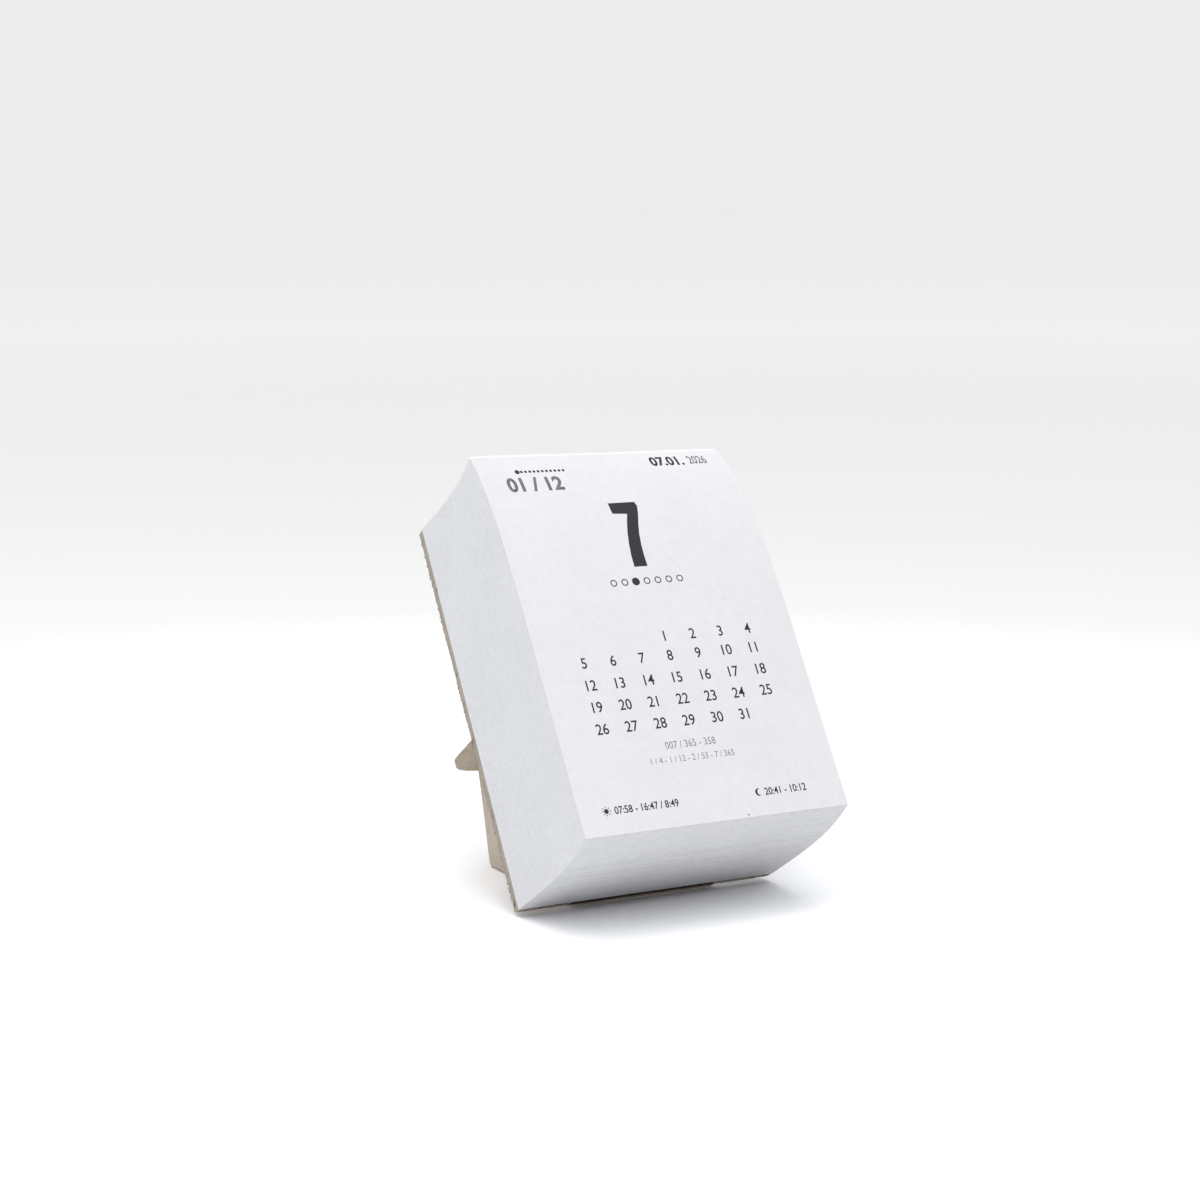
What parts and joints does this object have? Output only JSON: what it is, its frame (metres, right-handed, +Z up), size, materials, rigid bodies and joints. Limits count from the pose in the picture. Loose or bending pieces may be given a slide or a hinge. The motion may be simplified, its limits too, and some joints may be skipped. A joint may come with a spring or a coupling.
{
  "type": "desk calendar",
  "caption": "Tear-off block desk calendar: a thick pad of daily leaves glued at the top edge to a greyboard back, leaning on a folding card easel with a lock tab.",
  "frame": {"origin": "on the table, under the middle of the calendar's bounding box", "axes": "+Z up, the printed page faces -Y, +X to the viewer's right"},
  "size_m": [0.075, 0.0938, 0.114],
  "materials": {
    "page": "uncoated white printing paper",
    "leaf_block": "cut edges of stacked white paper",
    "padding": "dried white padding glue",
    "greyboard": "raw greyboard with fuzzy cut edges",
    "easel_card": "raw warm grey card"
  },
  "bodies": {
    "block": {"back_board": "greyboard", "easel_panel": "easel_card", "padding_glue": "padding", "leaves_january": "leaf_block", "leaves_february": "leaf_block", "leaves_march": "leaf_block", "leaves_april": "leaf_block", "leaves_may": "leaf_block", "leaves_june": "leaf_block", "leaves_july": "leaf_block", "leaves_august": "leaf_block", "leaves_september": "leaf_block", "leaves_october": "leaf_block", "leaves_november": "leaf_block", "leaves_december": "leaf_block"},
    "wing": {"easel_wing": "easel_card"},
    "tab": {"lock_tab": "easel_card"},
    "second_leaf": {"leaf_second": "page"},
    "front_leaf": {"leaf_front": "page"}
  },
  "joints": [
    {"name": "wing_fold", "type": "hinge", "parent": "block", "child": "wing", "pos_m": [-0.0196, -0.00741, -0.00026], "axis": [0, -0.5225, -0.8526], "range_deg": [0, 90]},
    {"name": "tab_fold", "type": "hinge", "parent": "block", "child": "tab", "pos_m": [-0.02035, 0.0182, 0.0421], "axis": [1, 0, 0], "range_deg": [0, 90]},
    {"name": "second_leaf_lift", "type": "hinge", "parent": "block", "child": "second_leaf", "pos_m": [0, 0.01656, 0.11248], "axis": [-0.9986, -0.0454, 0.0278], "range_deg": [0, 60], "stiffness_Nm_per_rad": 0.0002},
    {"name": "front_leaf_lift", "type": "hinge", "parent": "second_leaf", "child": "front_leaf", "pos_m": [0, 0.0165, 0.11256], "axis": [-0.9986, -0.0454, 0.0278], "range_deg": [0, 80], "stiffness_Nm_per_rad": 0.0002}
  ],
  "couplings": [
    {"joint": "tab_fold", "follows": "wing_fold", "ratio": 1}
  ]
}
